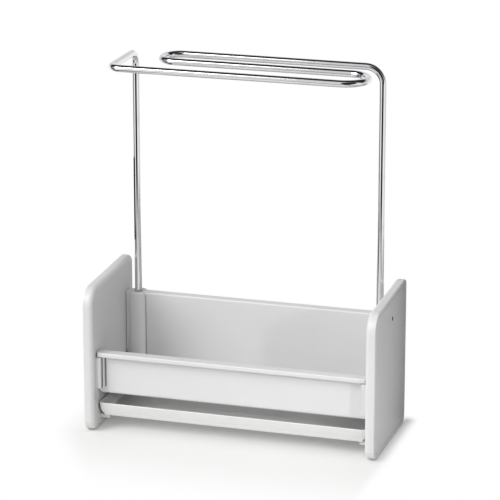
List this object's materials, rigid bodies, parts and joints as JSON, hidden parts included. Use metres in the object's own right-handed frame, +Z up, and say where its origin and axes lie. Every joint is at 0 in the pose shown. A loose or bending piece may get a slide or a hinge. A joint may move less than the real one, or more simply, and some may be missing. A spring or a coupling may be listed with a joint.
{
  "type": "sink drain rack",
  "caption": "Countertop caddy for a sink: a slotted trough between two hollow side plates, a pull-out drip tray below, and a bent steel rod above with level bars for hanging brushes and cloths.",
  "frame": {"origin": "on the ground, under the middle of the rack's box", "axes": "+X to the right seen from the front, +Y to the back, +Z up"},
  "size_m": [0.21, 0.087, 0.2619],
  "materials": {
    "white_plastic": "satin",
    "tray_plastic": "satin",
    "polished_steel": "polished",
    "zinc_steel": "zinc plated"
  },
  "bodies": {
    "caddy": {"left_side_shell": "white_plastic", "right_side_shell": "white_plastic", "left_outer_cover": "white_plastic", "right_outer_cover": "white_plastic", "trough": "white_plastic", "left_front_screw": "zinc_steel", "left_middle_screw": "zinc_steel", "left_rear_screw": "zinc_steel", "right_front_screw": "zinc_steel", "right_middle_screw": "zinc_steel", "right_rear_screw": "zinc_steel"},
    "drip_tray": {"drip_tray": "tray_plastic"},
    "wire_hanger": {"wire_hanger": "polished_steel"}
  },
  "joints": [
    {"name": "tray_slide", "type": "slide", "parent": "caddy", "child": "drip_tray", "axis": [0, -1, 0], "range_m": [0, 0.07]},
    {"name": "hanger_lift", "type": "slide", "parent": "caddy", "child": "wire_hanger", "axis": [0, 0, 1], "range_m": [0, 0.045]}
  ]
}
